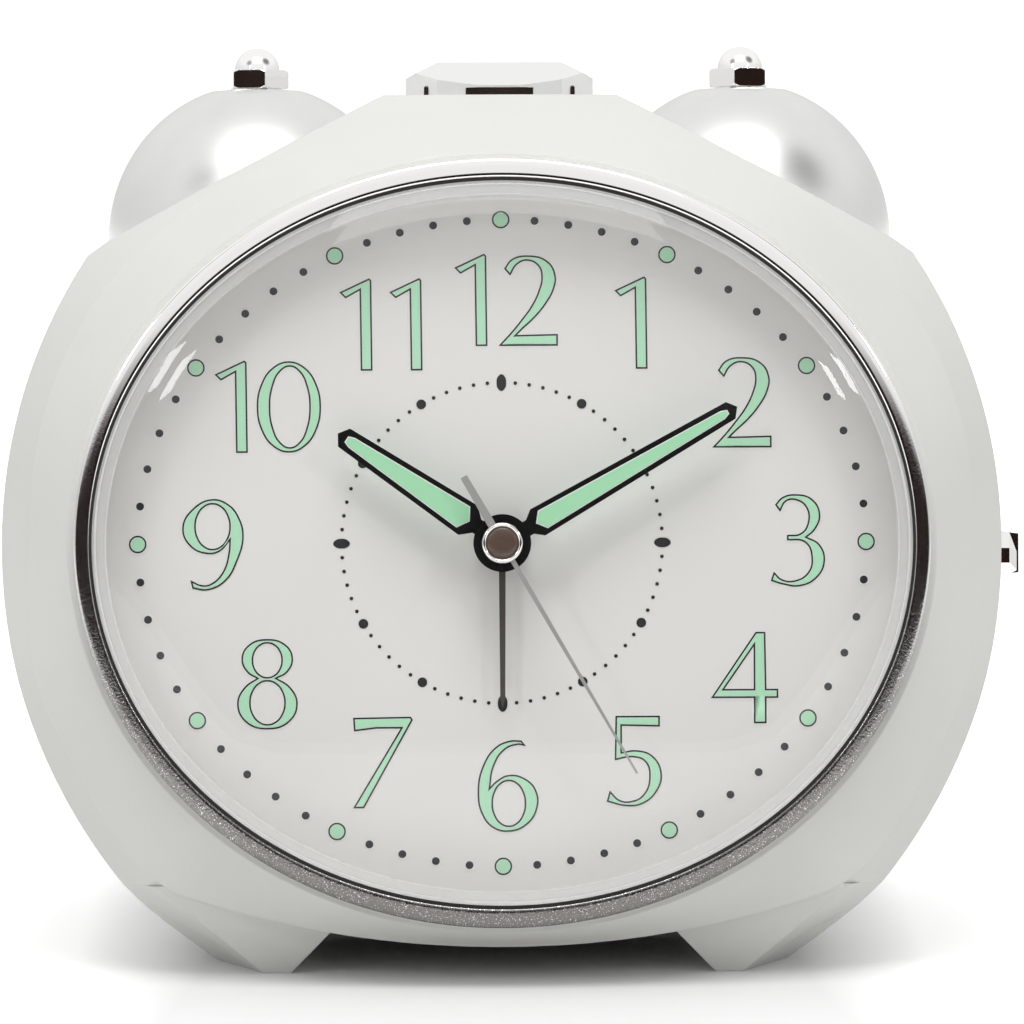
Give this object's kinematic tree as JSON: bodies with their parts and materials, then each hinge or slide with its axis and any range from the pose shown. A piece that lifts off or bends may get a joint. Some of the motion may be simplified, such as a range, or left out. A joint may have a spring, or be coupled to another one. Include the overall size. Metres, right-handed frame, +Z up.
{
  "type": "twin-bell quartz alarm clock",
  "caption": "Leaning table alarm clock with a pearl plastic case, oval chrome bezel, domed lens, numeral dial, bells behind the shoulders, snooze button, alarm switch and faceted feet",
  "frame": {"origin": "on the surface the clock stands on, under the middle of its feet", "axes": "+X to the right seen from the front, +Y towards the back, +Z up"},
  "size_m": [0.1231, 0.0654, 0.1101],
  "materials": {
    "pearl_plastic": "pearl white moulding",
    "bezel_chrome": "bright chrome plating",
    "lens_clear": "clear polished lens",
    "dial_print": "silver-grey printed card",
    "bell_metal": "satin chrome",
    "button_metal": "satin and polished plating",
    "steel": "plain bright steel",
    "movement_plastic": "black moulding",
    "gear_plastic": "natural white moulding",
    "knob_plastic": "black ribbed moulding",
    "copper": "enamelled copper wire",
    "contact_brass": "spring brass",
    "board": "green circuit board",
    "component": "black component",
    "crystal_can": "plated can",
    "cell": "plain dark sleeve",
    "hand_black": "satin black paint",
    "hand_lume": "pale green luminous fill",
    "hand_silver": "silver",
    "hand_dark": "dark grey-brown paint",
    "cap_dark": "dark brown gloss"
  },
  "bodies": {
    "case": {"front_case": "pearl_plastic", "rear_case": "pearl_plastic", "bezel_ring": "bezel_chrome", "bell_nuts": "bezel_chrome", "bell_washers": "bezel_chrome", "lens": "lens_clear", "dial": "dial_print", "bell_left": "bell_metal", "bell_right": "bell_metal", "bell_posts": "steel", "case_screws": "steel", "movement_screws": "steel", "bracket_screws": "steel", "hammer_pin": "steel", "striker_bracket": "steel", "magnet_core": "steel", "stator": "steel", "coil_core": "steel", "snooze_spring": "steel", "battery_plus_contacts": "steel", "battery_springs": "steel", "movement_front": "movement_plastic", "movement_rear": "movement_plastic", "coil_bobbin": "movement_plastic", "coil_winding": "copper", "magnet_coil": "copper", "alarm_contact": "contact_brass", "snooze_contact": "contact_brass", "switch_contact": "contact_brass", "circuit_board": "board", "timing_chip": "component", "quartz_crystal": "crystal_can", "battery_cells": "cell"},
    "seconds": {"second_wheel": "gear_plastic", "second_hand": "hand_silver", "centre_cap": "cap_dark"},
    "rotor": {"rotor_pinion": "gear_plastic", "rotor_magnet": "steel"},
    "middle": {"middle_wheel": "gear_plastic"},
    "third": {"third_wheel": "gear_plastic"},
    "centre": {"centre_wheel": "gear_plastic"},
    "minutes": {"minute_arbor": "gear_plastic", "minute_hand": "hand_black", "minute_lume": "hand_lume"},
    "motion": {"motion_arbor": "gear_plastic", "time_set_knob": "knob_plastic"},
    "hours": {"hour_wheel": "gear_plastic", "hour_hand": "hand_black", "hour_lume": "hand_lume"},
    "alarm": {"alarm_wheel": "gear_plastic", "alarm_hand": "hand_dark"},
    "alarm_setting": {"alarm_set_arbor": "gear_plastic", "alarm_set_knob": "knob_plastic"},
    "snooze": {"snooze_button": "button_metal", "snooze_clip": "steel"},
    "striker": {"hammer": "steel", "hammer_head": "steel", "armature": "steel"},
    "switch": {"switch_knob": "bezel_chrome"},
    "door": {"battery_door": "pearl_plastic"}
  },
  "joints": [
    {"name": "second_turn", "type": "hinge", "parent": "case", "child": "seconds", "pos_m": [0, -0.01813, 0.05231], "axis": [0, 0.9945, -0.1045], "continuous": true},
    {"name": "rotor_turn", "type": "hinge", "parent": "case", "child": "rotor", "pos_m": [0.01197, -0.01912, 0.04287], "axis": [0, 0.9945, -0.1045], "continuous": true},
    {"name": "middle_turn", "type": "hinge", "parent": "case", "child": "middle", "pos_m": [0.00822, -0.01844, 0.04933], "axis": [0, 0.9945, -0.1045], "continuous": true},
    {"name": "third_turn", "type": "hinge", "parent": "case", "child": "third", "pos_m": [-0.00291, -0.01897, 0.04437], "axis": [0, 0.9945, -0.1045], "continuous": true},
    {"name": "centre_turn", "type": "hinge", "parent": "case", "child": "centre", "pos_m": [0, -0.01813, 0.05231], "axis": [0, 0.9945, -0.1045], "continuous": true},
    {"name": "minute_turn", "type": "hinge", "parent": "case", "child": "minutes", "pos_m": [0, -0.01813, 0.05231], "axis": [0, 0.9945, -0.1045], "continuous": true},
    {"name": "motion_turn", "type": "hinge", "parent": "case", "child": "motion", "pos_m": [-0.00679, -0.01742, 0.05906], "axis": [0, 0.9945, -0.1045], "continuous": true},
    {"name": "hour_turn", "type": "hinge", "parent": "case", "child": "hours", "pos_m": [0, -0.01813, 0.05231], "axis": [0, 0.9945, -0.1045], "continuous": true},
    {"name": "alarm_turn", "type": "hinge", "parent": "case", "child": "alarm", "pos_m": [0, -0.01813, 0.05231], "axis": [0, 0.9945, -0.1045], "continuous": true},
    {"name": "alarm_setting_turn", "type": "hinge", "parent": "case", "child": "alarm_setting", "pos_m": [0.00724, -0.01738, 0.05951], "axis": [0, 0.9945, -0.1045], "continuous": true},
    {"name": "snooze_press", "type": "slide", "parent": "case", "child": "snooze", "axis": [0, -0.1045, -0.9945], "range_m": [0, 0.002], "stiffness_N_per_m": 400, "springref_m": -0.001, "deforming": ["snooze_spring"]},
    {"name": "hammer_swing", "type": "hinge", "parent": "case", "child": "striker", "pos_m": [0, 0.01301, 0.07116], "axis": [0, 0.9945, -0.1045], "range_deg": [-3, 3], "stiffness_Nm_per_rad": 0.004},
    {"name": "switch_slide", "type": "slide", "parent": "case", "child": "switch", "axis": [0, 0.1045, 0.9945], "range_m": [0, 0.0035]},
    {"name": "door_lift", "type": "slide", "parent": "case", "child": "door", "axis": [0, 0.9945, -0.1045], "range_m": [0, 0.012]}
  ],
  "couplings": [
    {"joint": "rotor_turn", "follows": "second_turn", "ratio": 30},
    {"joint": "middle_turn", "follows": "second_turn", "ratio": -6},
    {"joint": "third_turn", "follows": "second_turn", "ratio": -0.13333},
    {"joint": "centre_turn", "follows": "second_turn", "ratio": 0.016667},
    {"joint": "motion_turn", "follows": "minute_turn", "ratio": -0.33333},
    {"joint": "hour_turn", "follows": "minute_turn", "ratio": 0.083333},
    {"joint": "alarm_setting_turn", "follows": "alarm_turn", "ratio": -3}
  ]
}
